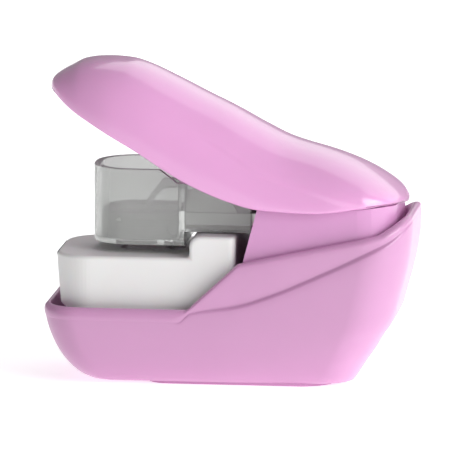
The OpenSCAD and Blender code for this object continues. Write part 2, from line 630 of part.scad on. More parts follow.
module handle_frame() {
    color(deep_pink) difference() {
        union() {
            intersection() {
                translate([0, 0, 15]) linear_extrude(40) difference() {
                    rounded_plan(skirt_x - 3, heel_x - 3.4, skirt_w, 0.1, 7.8);
                    rounded_plan(skirt_x - 9, heel_x - 3.4 - skirt_wall, skirt_w - 2 * skirt_wall, 0.1, 6);
                }
                translate([0, base_w, 0]) rotate([90, 0, 0]) linear_extrude(2 * base_w) polygon(skirt_line);
            }
            both_sides() {
                side_plate(concat([for (x = rib_x) [x, curve(bottom_line, x) + 0.5]],
                    [for (k = [2:-1:0]) [rib_x[k], under_cover(rib_x[k], rib_y) - 0.4]]),
                    web_half - 1.4, rib_y - web_half + 1.4);
            }
            side_plate(concat([for (x = web_x) [x, web_z(x)]],
                [for (k = [len(web_x) - 1:-1:0]) [web_x[k], web_z(web_x[k]) - web_t]]), -web_half, 2 * web_half);
        }
        rod_y(hinge_x, hinge_z, bush_od + 2 * fit, skirt_w - 2 * skirt_skin);
        rod_y(hinge_x, hinge_z, flange_od + 0.3, skirt_w - 2 * skirt_wall);
        for (x = lever_screw_x) translate([x, 0, 30]) cylinder(d = screw_d, h = 30);
        translate([finger_x - 1.1, -4.1, 40]) cube([2.2, 8.2, 30]);
    }
}

bush_od = pin_d + 1.4;
flange_od = pin_d + 3;
skirt_skin = 1.1;                        // closed outer skin over the pin's ends

module pivot_bushes() {
    color("goldenrod") both_sides() {
        tube_y(hinge_x, hinge_z, bush_od, pin_d + 2 * fit, skirt_w / 2 - skirt_wall - 0.1,
            skirt_w / 2 - skirt_skin - 0.05);
        tube_y(hinge_x, hinge_z, flange_od, pin_d + 2 * fit, clip_y + clip_t + 0.15,
            skirt_w / 2 - skirt_wall - 0.1 + eps);
    }
}

lever_screw_x = [press_x + 6.3, press_x + 15.3];
lever_y = 4.4;
lever_t = 1.2;
lever_top = [press_x - 1, press_x + 4.3, press_x + 10.3, press_x + 17.3];

module press_lever() {
    color("darkgray") difference() {
        union() {
            both_sides() {
                side_plate(concat([[press_x - 3, press_z - 0.4], [press_x, press_z - 1.7],
                    [press_x + 5, press_z - 1.6], [hinge_x, hinge_z - 3.2],
                    [hinge_x + 3.2, hinge_z - 1], [hinge_x + 2.6, hinge_z + 2.4]],
                    [for (k = [3:-1:0]) [lever_top[k], web_z(lever_top[k]) - web_t - 0.1]],
                    [[press_x - 3, press_z + 3]]), lever_y, lever_t);
            }
            side_plate(concat([for (x = lever_top) [x, web_z(x) - web_t - 0.1]],
                [for (k = [3:-1:0]) [lever_top[k], web_z(lever_top[k]) - web_t - 1.1]]), -lever_y - lever_t,
                2 * (lever_y + lever_t));
        }
        rod_y(hinge_x, hinge_z, pin_d + 2 * fit, base_w);
        rod_y(press_x, press_z, 1.62, base_w);
        for (x = lever_screw_x) translate([x, 0, 30]) cylinder(d = screw_d + 0.2, h = 30);
    }
}

module press_roller() {
    color("silver") difference() {
        rod_y(press_x, press_z, roller_d, 2 * lever_y - 0.4);
        rod_y(press_x, press_z, 1.7, 20);
    }
}

module roller_pin() {
    color("gray") rod_y(press_x, press_z, 1.6, 2 * (lever_y + lever_t) + 0.4);
}

module lever_screws() {
    color("gray") for (x = lever_screw_x) translate([x, 0, web_z(x) - web_t - 1.9]) mirror([0, 0, 1])
        screw(3, 3.8, 1);
}

finger_x = -14;
finger_z = fold_z + 3.6;

module trip_finger() {
    z1 = web_z(finger_x) + 0.4;
    color("#c9c9c9") union() {
        translate([finger_x - 1, -4, finger_z]) cube([2, 8, z1 - finger_z]);
        translate([finger_x - 2, -5.6, web_z(finger_x) - web_t - 2.2]) cube([4, 11.2, 1]);
    }
}

base_shell();
bottom_cover();
chassis();
cover_screws();
blade_block();
tab_cutter();
slit_blade();
blade_screws();
hinge_pin();
pin_clips();
guide_posts();
platform_springs();
paper_table();
die_plate();
clear_guide();
guide_block();
spacer_plate();
pressure_bracket();
guide_screws();
folder_pin();
folder_spring();
tab_folder();
handle_cover();
handle_frame();
press_lever();
press_roller();
roller_pin();
pivot_bushes();
lever_screws();
trip_finger();
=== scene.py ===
import bpy
import bmesh
import math
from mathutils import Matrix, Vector


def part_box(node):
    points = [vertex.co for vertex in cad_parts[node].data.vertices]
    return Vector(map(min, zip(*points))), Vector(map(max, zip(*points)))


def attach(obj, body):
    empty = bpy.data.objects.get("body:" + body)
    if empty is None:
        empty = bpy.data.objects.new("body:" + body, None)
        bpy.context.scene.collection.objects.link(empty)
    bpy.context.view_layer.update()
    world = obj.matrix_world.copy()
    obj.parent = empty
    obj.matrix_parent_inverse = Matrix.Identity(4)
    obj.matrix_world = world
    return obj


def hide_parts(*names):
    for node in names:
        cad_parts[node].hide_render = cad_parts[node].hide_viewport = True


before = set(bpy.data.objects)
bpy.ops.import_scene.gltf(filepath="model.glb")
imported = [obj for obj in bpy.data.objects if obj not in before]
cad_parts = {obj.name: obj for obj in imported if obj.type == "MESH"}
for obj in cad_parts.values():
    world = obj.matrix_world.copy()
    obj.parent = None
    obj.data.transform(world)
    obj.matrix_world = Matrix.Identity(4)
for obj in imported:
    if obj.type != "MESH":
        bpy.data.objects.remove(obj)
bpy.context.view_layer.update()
mm = 0.001
print("frame loaded")


# small numeric helpers

def nodeBox(node):  # lowest and highest corners of a node, in millimetres
    low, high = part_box(node)
    return [v / mm for v in low], [v / mm for v in high]


def lerpTable(table, x):  # straight lines through [x, y] pairs
    if x <= table[0][0]:
        return table[0][1]
    for (xa, ya), (xb, yb) in zip(table, table[1:]):
        if x <= xb:
            return ya + (yb - ya) * (x - xa) / (xb - xa)
    return table[-1][1]


def smoothTable(table, x):  # cubic through [x, y] pairs, no overshoot
    if x <= table[0][0]:
        return table[0][1]
    if x >= table[-1][0]:
        return table[-1][1]
    slopes = [(b[1] - a[1]) / (b[0] - a[0]) for a, b in zip(table, table[1:])]
    i = next(k for k in range(len(slopes)) if x <= table[k + 1][0])

    def tangent(k):
        if k == 0:
            return slopes[0]
        if k == len(table) - 1:
            return slopes[-1]
        before, after = slopes[k - 1], slopes[k]
        if before * after <= 0:
            return 0.0
        return 2 * before * after / (before + after)

    (xa, ya), (xb, yb) = table[i], table[i + 1]
    h = xb - xa
    t = (x - xa) / h
    return (ya * (1 + 2 * t) * (1 - t) ** 2 + h * tangent(i) * t * (1 - t) ** 2
            + yb * t * t * (3 - 2 * t) + h * tangent(i + 1) * t * t * (t - 1))


def bump01(t):  # smooth step from 0 to 1
    t = min(max(t, 0.0), 1.0)
    return t * t * (3 - 2 * t)


# mesh helpers

def newPiece(name, verts, faces, smooth=True):
    mesh = bpy.data.meshes.new(name)
    mesh.from_pydata([(x * mm, y * mm, z * mm) for x, y, z in verts], [], faces)
    mesh.validate()
    cleaner = bmesh.new()
    cleaner.from_mesh(mesh)
    bmesh.ops.remove_doubles(cleaner, verts=cleaner.verts, dist=0.002 * mm)
    bmesh.ops.recalc_face_normals(cleaner, faces=cleaner.faces)
    cleaner.to_mesh(mesh)
    cleaner.free()
    for face in mesh.polygons:
        face.use_smooth = smooth
    piece = bpy.data.objects.new(name, mesh)
    bpy.context.scene.collection.objects.link(piece)
    return piece


def ringFaces(columns, rows):  # quads of a grid that closes both ways
    faces = []
    for i in range(columns):
        for j in range(rows):
            a, b = i * rows + j, ((i + 1) % columns) * rows + j
            c, d = ((i + 1) % columns) * rows + (j + 1) % rows, i * rows + (j + 1) % rows
            faces.append((a, b, c, d))
    return faces


def arcPoints(cx, cy, r, a0, a1, n):
    return [(cx + r * math.cos(math.radians(a0 + (a1 - a0) * k / n)),
             cy + r * math.sin(math.radians(a0 + (a1 - a0) * k / n))) for k in range(n + 1)]


def applyModifiers(piece):
    graph = bpy.context.evaluated_depsgraph_get()
    graph.update()
    mesh = bpy.data.meshes.new_from_object(piece.evaluated_get(graph))
    piece.modifiers.clear()
    old = piece.data
    piece.data = mesh
    mesh.name = piece.name
    bpy.data.meshes.remove(old)


def addBevel(piece, width, segments=3, angle=38):
    bevel = piece.modifiers.new("edge", "BEVEL")
    bevel.width = width * mm
    bevel.segments = segments
    bevel.limit_method = "ANGLE"
    bevel.angle_limit = math.radians(angle)
    bevel.harden_normals = False
    return bevel


def addNormals(piece):
    normals = piece.modifiers.new("normals", "WEIGHTED_NORMAL")
    normals.keep_sharp = True
    normals.weight = 80


def cutWith(piece, cutter, operation="DIFFERENCE"):
    step = piece.modifiers.new("cut", "BOOLEAN")
    step.operation = operation
    step.solver = "EXACT"
    step.object = cutter
    applyModifiers(piece)
    bpy.data.objects.remove(cutter, do_unlink=True)


def prism(name, outline, plane, low, high):  # outline in XZ or XY, pushed along the third axis
    n = len(outline)
    if plane == "xz":
        verts = [(x, low, z) for x, z in outline] + [(x, high, z) for x, z in outline]
    else:
        verts = [(x, y, low) for x, y in outline] + [(x, y, high) for x, y in outline]
    faces = [tuple(range(n)), tuple(range(2 * n - 1, n - 1, -1))]
    faces += [(k, (k + 1) % n, n + (k + 1) % n, n + k) for k in range(n)]
    return newPiece(name, verts, faces, smooth=False)


# materials

def newMaterial(name, **sockets):
    material = bpy.data.materials.new(name)
    material.use_nodes = True
    shader = material.node_tree.nodes["Principled BSDF"]
    for key, value in sockets.items():
        shader.inputs[key.replace("_", " ")].default_value = value
    return material, material.node_tree, shader


def addNoise(tree, scale, detail=3.0, stretch=(1, 1, 1)):
    coords = tree.nodes.new("ShaderNodeTexCoord")
    mapping = tree.nodes.new("ShaderNodeMapping")
    mapping.inputs["Scale"].default_value = stretch
    noise = tree.nodes.new("ShaderNodeTexNoise")
    noise.inputs["Scale"].default_value = scale
    noise.inputs["Detail"].default_value = detail
    tree.links.new(coords.outputs["Object"], mapping.inputs["Vector"])
    tree.links.new(mapping.outputs["Vector"], noise.inputs["Vector"])
    return noise


def addRamp(tree, source, low, high, colours, target):
    ramp = tree.nodes.new("ShaderNodeValToRGB")
    ramp.color_ramp.elements[0].position = low
    ramp.color_ramp.elements[1].position = high
    ramp.color_ramp.elements[0].color = colours[0]
    ramp.color_ramp.elements[1].color = colours[1]
    tree.links.new(source, ramp.inputs["Fac"])
    tree.links.new(ramp.outputs["Color"], target)
    return ramp


def addSpread(tree, source, low, high, target):
    spread = tree.nodes.new("ShaderNodeMapRange")
    spread.inputs["To Min"].default_value = low
    spread.inputs["To Max"].default_value = high
    tree.links.new(source, spread.inputs["Value"])
    tree.links.new(spread.outputs["Result"], target)


def addRelief(tree, source, shader, strength, distance):
    relief = tree.nodes.new("ShaderNodeBump")
    relief.inputs["Strength"].default_value = strength
    relief.inputs["Distance"].default_value = distance
    tree.links.new(source, relief.inputs["Height"])
    tree.links.new(relief.outputs["Normal"], shader.inputs["Normal"])


def shade(colour, k):
    return (colour[0] * k, colour[1] * k, colour[2] * k, 1.0)


def mouldedPink(name, colour, rough, coat, relief):
    material, tree, shader = newMaterial(name, IOR=1.5, Coat_Weight=coat, Coat_Roughness=0.04,
                                         Subsurface_Weight=0.12, Subsurface_Scale=0.002)
    shader.inputs["Subsurface Radius"].default_value = (1.0, 0.45, 0.8)
    clouds = addNoise(tree, 38, 4)
    addRamp(tree, clouds.outputs["Fac"], 0.3, 0.7, [shade(colour, 0.965), shade(colour, 1.02)],
            shader.inputs["Base Color"])
    haze = addNoise(tree, 240, 5)
    addSpread(tree, haze.outputs["Fac"], rough * 0.8, rough * 1.25, shader.inputs["Roughness"])
    peel = addNoise(tree, 900, 2)
    addRelief(tree, peel.outputs["Fac"], shader, relief, 0.00003)
    return material


pinkCover = mouldedPink("coverPink", (0.82, 0.40, 0.71), 0.20, 0.5, 0.06)
pinkBase = mouldedPink("basePink", (0.61, 0.31, 0.53), 0.30, 0.25, 0.08)
pinkSkirt = mouldedPink("skirtPink", (0.68, 0.33, 0.60), 0.34, 0.15, 0.10)


def mouldedWhite():
    material, tree, shader = newMaterial("tableWhite", IOR=1.47, Subsurface_Weight=0.08,
                                         Subsurface_Scale=0.0015)
    clouds = addNoise(tree, 55, 4)
    addRamp(tree, clouds.outputs["Fac"], 0.3, 0.7, [(0.80, 0.80, 0.79, 1), (0.84, 0.84, 0.83, 1)],
            shader.inputs["Base Color"])
    haze = addNoise(tree, 700, 3)
    addSpread(tree, haze.outputs["Fac"], 0.46, 0.60, shader.inputs["Roughness"])
    grain = addNoise(tree, 2600, 2)
    addRelief(tree, grain.outputs["Fac"], shader, 0.18, 0.00003)
    return material


whiteTable = mouldedWhite()


def clearPlastic(name, tint, rough, clear):
    material, tree, shader = newMaterial(name, IOR=1.46, Transmission_Weight=clear)
    streaks = addNoise(tree, 60, 3, (1, 1, 0.3))
    addRamp(tree, streaks.outputs["Fac"], 0.3, 0.7, [shade(tint, 0.97), shade(tint, 1.0)],
            shader.inputs["Base Color"])
    haze = addNoise(tree, 420, 3)
    addSpread(tree, haze.outputs["Fac"], rough * 0.7, rough * 1.5, shader.inputs["Roughness"])
    flow = addNoise(tree, 130, 2, (1, 1, 0.4))
    addRelief(tree, flow.outputs["Fac"], shader, 0.05, 0.0001)
    return material


guideClear = clearPlastic("guideClear", (0.80, 0.82, 0.80), 0.08, 0.72)
blockClear = clearPlastic("blockClear", (0.74, 0.72, 0.71), 0.22, 0.6)


def metalFinish(name, colour, rough, stretch, scale=420, relief=0.12):
    material, tree, shader = newMaterial(name, Metallic=1.0)
    brushed = addNoise(tree, scale, 4, stretch)
    addRamp(tree, brushed.outputs["Fac"], 0.25, 0.75, [shade(colour, 0.86), shade(colour, 1.05)],
            shader.inputs["Base Color"])
    addSpread(tree, brushed.outputs["Fac"], rough * 0.7, rough * 1.4, shader.inputs["Roughness"])
    addRelief(tree, brushed.outputs["Fac"], shader, relief, 0.00002)
    return material


sheetSteel = metalFinish("sheetSteel", (0.60, 0.59, 0.58), 0.30, (0.12, 1, 1))
groundSteel = metalFinish("groundSteel", (0.70, 0.70, 0.71), 0.22, (1, 1, 0.1), 900)
turnedSteel = metalFinish("turnedSteel", (0.66, 0.66, 0.67), 0.24, (1, 0.15, 1), 800)
springSteel = metalFinish("springSteel", (0.52, 0.52, 0.54), 0.28, (1, 1, 1), 600)
screwSteel = metalFinish("screwSteel", (0.56, 0.56, 0.58), 0.30, (1, 1, 1), 500)
bushBrass = metalFinish("bushBrass", (0.76, 0.58, 0.28), 0.28, (1, 0.2, 1), 700)


def dullPlastic(name, colour, rough, scale):
    material, tree, shader = newMaterial(name, IOR=1.48)
    clouds = addNoise(tree, scale, 5)
    addRamp(tree, clouds.outputs["Fac"], 0.3, 0.7, [shade(colour, 0.85), shade(colour, 1.1)],
            shader.inputs["Base Color"])
    addSpread(tree, clouds.outputs["Fac"], rough * 0.85, rough * 1.15, shader.inputs["Roughness"])
    addRelief(tree, clouds.outputs["Fac"], shader, 0.2, 0.00004)
    return material


holderGrey = dullPlastic("holderGrey", (0.045, 0.045, 0.05), 0.5, 900)
spacerBrown = dullPlastic("spacerBrown", (0.16, 0.10, 0.075), 0.6, 1300)
print("materials made")


# handle cover: a domed shell whose rows run from the rim up to the spine

coverLow, coverHigh = nodeBox("handle_cover")
coverSettings = {
    "wall": 1.8, "columns": 176, "rows": 56, "rimRound": 0.45, "crown": 2.6, "widest": 17.3,
    "spineFront": 9, "spineRear": 8,  # where the rows gather, from the tip and the tail
    "crease": 0.3, "creaseFrom": -9, "creaseTo": 33, "creaseSoft": 1.3, "creaseDeep": 7,
}
tipX, tailX, topZ = coverLow[0], coverHigh[0], coverHigh[2]
tipZ, tailZ = topZ - 5.9, 38.4
halfCover = coverHigh[1]
topLine = [[tipX, tipZ], [tipX + 0.12, tipZ + 0.8], [tipX + 0.4, tipZ + 1.45], [tipX + 1.2, topZ - 3.6],
           [tipX + 3.9, topZ - 2], [tipX + 7.1, topZ - 0.5], [tipX + 10.3, topZ - 0.05], [tipX + 12.5, topZ],
           [tipX + 16.7, topZ - 0.3], [tipX + 19.9, topZ - 1.2], [tipX + 26.4, topZ - 4.1],
           [tipX + 32.8, topZ - 7.3], [tipX + 39.2, topZ - 10.4], [tailX - 30.7, topZ - 13.9],
           [tailX - 25.4, topZ - 16.5], [tailX - 15.6, 48.2], [tailX - 10.6, 46.2], [tailX - 5.7, 43.5],
           [tailX - 2.4, 41.2], [tailX - 0.9, 39.8], [tailX - 0.25, 38.9], [tailX, tailZ]]
bottomLine = [[tipX, tipZ], [tipX + 0.15, tipZ - 0.25], [tipX + 0.6, tipZ - 0.6], [tipX + 2, tipZ - 1.3],
              [tipX + 5, tipZ - 3.35], [tipX + 11.4, 54.8], [tipX + 20, 50.1], [tipX + 30.3, 43.9],
              [tailX - 36.8, 40], [tailX - 30.2, 38.3], [tailX - 18.8, 37.7], [tailX - 7.4, 38.8],
              [tailX - 4, 39.05], [tailX - 1, 38.8], [tailX, tailZ]]
creaseTop = [[-9, 56.5], [-0.5, 51.5], [6.8, 46.7], [15.8, 43.7], [23.3, 41.2], [31.8, 38.9]]
halfLine = [[tipX, 0], [tipX + 0.08, 1.7], [tipX + 0.3, 3.3], [tipX + 1.3, 6.7], [tipX + 3.6, 10.3],
            [tipX + 8, 13.6], [tipX + 15, 15.9], [tipX + 26.8, 17.05], [tipX + 38.8, 17.3],
            [tailX - 15.5, 17.1], [tailX - 8.5, 16.2], [tailX - 4.5, 13.6], [tailX - 1.9, 9.8],
            [tailX - 0.5, 4.7], [tailX - 0.12, 2.3], [tailX, 0]]


def coverHalf(x):  # half the cover's width at x
    return smoothTable(halfLine, x) * halfCover / coverSettings["widest"]


def coverHeight(x, y):  # top surface over a point of the plan
    half = max(coverHalf(x), 0.01)
    low, high = smoothTable(bottomLine, x), smoothTable(topLine, x)
    k = coverSettings["crown"]
    side = min(abs(y) / half, 1.0)
    rise = max(1 - side ** k, 0.0) ** (1 / k)
    return low + (max(high - low, 0.0)) * rise


def buildCover():
    s = coverSettings
    edge = []
    for k in range(s["columns"]):
        a = 2 * math.pi * k / s["columns"]
        x = (tipX + tailX) / 2 - (tailX - tipX) / 2 * math.cos(a)
        half = coverHalf(x)
        edge.append((x, -half if a < math.pi else half))
    edge[0] = (tipX, 0.0)
    edge[s["columns"] // 2] = (tailX, 0.0)
    spineA, spineB = tipX + s["spineFront"], tailX - s["spineRear"]
    outer = []
    for x, y in edge:
        column = []
        t = (x - tipX) / (tailX - tipX)
        sx = spineA + (spineB - spineA) * t
        for r in range(s["rows"] + 1):
            k = math.sin(math.pi / 2 * (1 - r / s["rows"]))
            px, py = sx + (x - sx) * k, y * k
            z = coverHeight(px, py)
            below = lerpTable(creaseTop, px) - z
            fade = bump01((px - s["creaseFrom"]) / 8) * bump01((s["creaseTo"] - px) / 6) * s["crease"]
            step = bump01(below / s["creaseSoft"]) * bump01((s["creaseDeep"] - below) / 6)
            py -= math.copysign(fade * step, py)
            column.append(Vector((px, py, z)))
        outer.append(column)
    n, m = len(edge), s["rows"] + 1
    for i in range(n):  # rim points sit exactly on the bottom line
        outer[i][0].z = smoothTable(bottomLine, outer[i][0].x)

    def normalAt(i, r):
        a = outer[(i + 1) % n][r] - outer[(i - 1) % n][r]
        b = outer[i][min(r + 1, m - 1)] - outer[i][max(r - 1, 0)]
        v = a.cross(b)
        if v.length < 1e-9:
            v = Vector((0, 0, 1))
        v.normalize()
        centre = Vector((outer[i][r].x, 0, outer[i][r].z - 6))
        return v if v.dot(outer[i][r] - centre) > 0 else -v

    verts, faces = [], []
    rim = s["rimRound"]
    for i in range(n):
        ring = []
        out = normalAt(i, 1)
        flat = Vector((out.x, out.y, 0))
        if flat.length < 1e-6:
            flat = Vector((-1 if outer[i][0].x < 0 else 1, 0, 0))
        flat.normalize()
        up = (outer[i][1] - outer[i][0]).normalized()
        base = outer[i][0]
        for r in range(m - 1, 0, -1):
            ring.append(outer[i][r])
        ring.append(base + up * rim)
        ring.append(base + up * rim * 0.35 - flat * rim * 0.3)
        ring.append(base - flat * rim)
        ring.append(base - flat * (s["wall"] - rim))
        ring.append(base + up * rim * 0.35 - flat * (s["wall"] - rim * 0.3))
        ring.append(base + up * rim - flat * s["wall"])
        for r in range(2, m - 1, 2):
            point = outer[i][r]
            inward = normalAt(i, r) * s["wall"]
            blend = bump01(r / 6)
            ring.append(point - (flat * s["wall"]) * (1 - blend) - inward * blend)
        ring.append(outer[i][m - 1] - Vector((0, 0, 1)) * s["wall"])
        verts.append(ring)
    rows = len(verts[0])
    flatVerts = [tuple(p) for ring in verts for p in ring]
    for i in range(n):
        for j in range(rows - 1):
            a, b = i * rows + j, ((i + 1) % n) * rows + j
            faces.append((a, a + 1, b + 1, b))
    spine = [i * rows for i in range(n)]
    spineIn = [i * rows + rows - 1 for i in range(n)]
    half = n // 2
    for chain, flip in ((spine, False), (spineIn, True)):  # zip the near and far halves along the spine
        for k in range(half):
            a, b = chain[k], chain[(k + 1) % n]
            c, d = chain[(n - k - 1) % n], chain[(n - k) % n]
            quad = [a, b, c, d]
            faces.append(tuple(reversed(quad)) if flip else tuple(quad))
    return newPiece("handleCover", flatVerts, faces)


cover = buildCover()
cover.data.materials.append(pinkCover)
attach(cover, "handle")
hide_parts("handle_cover")
print("handle cover built")


# base shell: columns round the plan, rows from the foot over the rim and down inside

shellLow, shellHigh = nodeBox("base_shell")
shellSettings = {
    "wall": 1.5, "step": 0.8, "noseRound": 8, "heelRound": 10, "rimRound": 1.0,
    "frontRound": 0.9, "innerRound": 0.35,  # extra rounding of the front rim, and the inner edge
    "ledge": 2.0, "openFront": 15, "openRear": 18, "openSide": 7,  # floor ledge round the open bottom
    "straightStep": 0.8, "tuck": 0.09, "skinRows": 16,
}
noseX, heelX = shellLow[0], shellHigh[0]
baseLength, baseWidth = heelX - noseX, shellHigh[1] - shellLow[1]
footZ, rimFront, rimHeel = shellLow[2], 16.7, 36.6
shoulderX = -7.7
panelLow = shoulderX + 1.2
panelHigh = panelLow + 10
noseIn = [[0, 11], [0.8, 9.3], [1.7, 7.6], [3.5, 5.6], [5.2, 4.2], [6.9, 3.1], [8.7, 2.2], [10.4, 1.5],
          [12.1, 0.95], [13.9, 0.5], [15.6, 0.1], [17, 0], [40, 0]]
heelIn = [[0, 12.4], [0.6, 11.7], [2.3, 10.6], [4, 9.7], [5.8, 8.7], [7.5, 7.6], [9.2, 6.8], [11, 6],
          [12.7, 4.8], [14.4, 3.95], [16.2, 3.35], [17.9, 3], [21.4, 2], [24.8, 1.15], [28.3, 0.5],
          [31, 0.15], [33, 0], [40, 0.1]]
sideIn = [[0, 5.2], [0.7, 4.2], [1.2, 3.5], [2, 2.8], [4, 1.7], [8, 0.6], [14, 0], [26, 0], [40, 0.4]]
rimLine = [[noseX, rimFront], [panelLow, rimFront], [panelHigh, rimHeel - 9.9], [13, rimHeel - 7.8],
           [22, rimHeel - 5.9], [31, rimHeel - 4], [34, rimHeel - 3.4], [heelX - 2.5, rimHeel - 1.7],
           [heelX, rimHeel]]
creaseLine = [[noseX, rimFront - 3], [panelLow - 2, rimFront - 3], [panelLow + 1, rimFront - 0.9],
              [5, rimFront + 0.9], [12.7, 20.3], [20.5, 23.9], [31, rimHeel - 7.4], [35, rimHeel - 5.2],
              [heelX, rimHeel - 1.6]]
lowLine = [[-26, 3.6], [-14, 3.0], [-4, 2.9], [4, 3.5], [12, 5.3], [20, 7.6], [26.5, 9.7], [31, 11.3],
           [36, 13]]


def rimHeight(x):
    if panelLow - 0.4 < x < panelLow + 0.8:  # soft foot of the slanted edge
        a, b = lerpTable(rimLine, panelLow - 0.4), lerpTable(rimLine, panelLow + 0.8)
        t = (x - panelLow + 0.4) / 1.2
        return a + (b - a) * t * t
    if panelHigh - 0.7 < x < panelHigh + 0.7:  # soft top corner
        a, b = lerpTable(rimLine, panelHigh - 0.7), lerpTable(rimLine, panelHigh + 0.7)
        t = (x - panelHigh + 0.7) / 1.4
        return a + (b - a) * (1 - (1 - t) ** 2)
    return lerpTable(rimLine, x)


def stepAt(x):
    s = shellSettings["step"]
    return lerpTable([[panelLow - 3, 0], [panelLow, 0.2], [panelHigh, s], [heelX - 8, s], [heelX, 0.1]], x)


def shellSkin(p, z, d, refX):
    a = noseX + smoothTable(noseIn, z)
    b = heelX - smoothTable(heelIn, z)
    half = baseWidth / 2 - smoothTable(sideIn, z)
    foot = smoothTable(lowLine, refX)
    if d <= 0.01 and z < foot + 0.6 and refX > -26:  # the lower flank turns in below a soft line
        lean = lerpTable([[-26, 0], [-6, 0.5], [14, 1.0], [36, 1.0]], refX) * shellSettings["tuck"]
        under = foot - z
        d = d + lean * (under if under > 0.6 else (under + 0.6) ** 2 / 2.4 if under > -0.6 else 0)
    u, v = p[0] / (baseLength / 2), p[1] / (baseWidth / 2)
    return ((a + b) / 2 + u * ((b - a) / 2 - d), v * (half - d), z)


def planLoop():
    s = shellSettings
    hw = baseWidth / 2
    rn, rh = s["noseRound"], s["heelRound"]
    half = [(noseX, (hw - rn) * k / 8) for k in range(8)]
    half += arcPoints(noseX + rn, hw - rn, rn, 180, 90, 18)
    x = noseX + rn + s["straightStep"]
    while x < heelX - rh - 0.2:
        near = abs(x - panelLow) < 1.6 or abs(x - panelHigh) < 1.6
        half.append((x, hw))
        x += s["straightStep"] * (0.35 if near else 1)
    half += arcPoints(heelX - rh, hw - rh, rh, 90, 0, 24)
    half += [(heelX, (hw - rh) * k / 6) for k in range(5, -1, -1)]
    return half + [(x, -y) for x, y in half[-2:0:-1]]


def buildShell():
    s = shellSettings
    openA, openB = noseX + s["openFront"], heelX - s["openRear"]
    openHalf = baseWidth / 2 - s["openSide"]
    loop = planLoop()
    verts = []
    for p in loop:
        x = p[0]
        zr = rimHeight(x)
        zc = min(smoothTable(creaseLine, x), zr - 0.9)
        st, w = stepAt(x), s["wall"]
        rows = []
        for k in range(s["skinRows"] + 1):
            z = footZ + (zc - 0.55 - footZ) * (k / s["skinRows"]) ** 1.5
            rows.append(shellSkin(p, z, 0, x))
        for dz, k in ((-0.3, 0.06), (-0.08, 0.2), (0.08, 0.5), (0.2, 0.85), (0.36, 1.0), (0.6, 0.98)):
            rows.append(shellSkin(p, zc + dz, max(st * k, 0.02), x))
        rr = min(s["rimRound"], (zr - zc - 0.6) * 0.7)
        rr += s["frontRound"] * bump01((panelLow - x) / 3)
        rx = min(rr, s["wall"] - 0.4)
        for k in range(1, 8):  # the panel leans out again from its groove to the rim
            t = k / 7
            z = zc + 0.6 + (zr - rr - zc - 0.6) * t ** 1.5
            rows.append(shellSkin(p, z, st * (0.3 + 0.68 * math.exp(-(z - zc - 0.6) / 2.2)), x))
        st = st * (0.3 + 0.68 * math.exp(-(zr - rr - zc - 0.6) / 2.2))
        for a in (22, 45, 68, 90):
            ca, sa = math.cos(math.radians(a)), math.sin(math.radians(a))
            rows.append(shellSkin(p, zr - rr + rr * sa, st + rx * (1 - ca), x))
        ri = s["innerRound"]
        for a in (90, 45, 0):
            ca, sa = math.cos(math.radians(a)), math.sin(math.radians(a))
            rows.append(shellSkin(p, zr - ri + ri * sa, st + w - ri * (1 - ca), x))
        rows.append(shellSkin(p, zc + 0.1, stepAt(x) + w - 0.4, x))
        floor = footZ + s["ledge"]
        for k in range(8, 0, -1):
            rows.append(shellSkin(p, floor + (zc - 1.5 - floor) * (k / 8) ** 1.5, w, x))
        rows.append(shellSkin(p, floor, w, x))
        ou, ov = p[0] / (baseLength / 2), p[1] / (baseWidth / 2)
        for z in (floor, footZ):
            rows.append(((openA + openB) / 2 + ou * (openB - openA) / 2, ov * openHalf, z))
        verts.append(rows)
    rows = len(verts[0])
    return newPiece("baseShell", [q for column in verts for q in column], ringFaces(len(verts), rows))


shell = buildShell()
shell.data.materials.append(pinkBase)
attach(shell, "base")
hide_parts("base_shell")
print("base shell built")


# paper table: side outline crossed with a rounded plan, then hollow, slots and soft edges

tableLow, tableHigh = nodeBox("paper_table")
bladeLow, bladeHigh = nodeBox("tab_cutter")
slitLow, slitHigh = nodeBox("slit_blade")
postLow, postHigh = nodeBox("guide_posts")
tableSettings = {
    "wall": 1.6, "corner": 8, "edge": 0.8, "shoulderRound": 2.2, "topZ": 27.2,
    "slot": 0.3, "blade": 0.5,  # room round the blades, and how thick they are
    "eyeHalf": 2, "eyeFront": 1.4, "eyeRear": 2.6,  # the wider middle of the slit
    "frontLean": 1.3, "footIn": 4.5, "coreFootIn": 5, "nearby": 0.5,
}


def roundedPlan(x0, x1, w, ra, rb, n=16):
    h = w / 2
    return (arcPoints(x0 + ra, h - ra, ra, 180, 90, n) + arcPoints(x1 - rb, h - rb, rb, 90, 0, 5)
            + arcPoints(x1 - rb, rb - h, rb, 0, -90, 5) + arcPoints(x0 + ra, ra - h, ra, -90, -180, n))


def tableSide(d, bottom):
    s = tableSettings
    x0, x1, top = tableLow[0], tableHigh[0] - d, tableHigh[2] - 0.7 - d
    r = s["shoulderRound"] if d == 0 else 0.8
    foot = x0 + (s["coreFootIn"] if d else s["footIn"])
    return ([(foot, bottom), (x0 + d + s["frontLean"], rimFront), (x0 + d, s["topZ"] - d),
             (shoulderX + d, s["topZ"] - d)]
            + arcPoints(shoulderX + d + r, top - r, r, 180, 90, 10)
            + [(x1, top), (x1, bottom)])


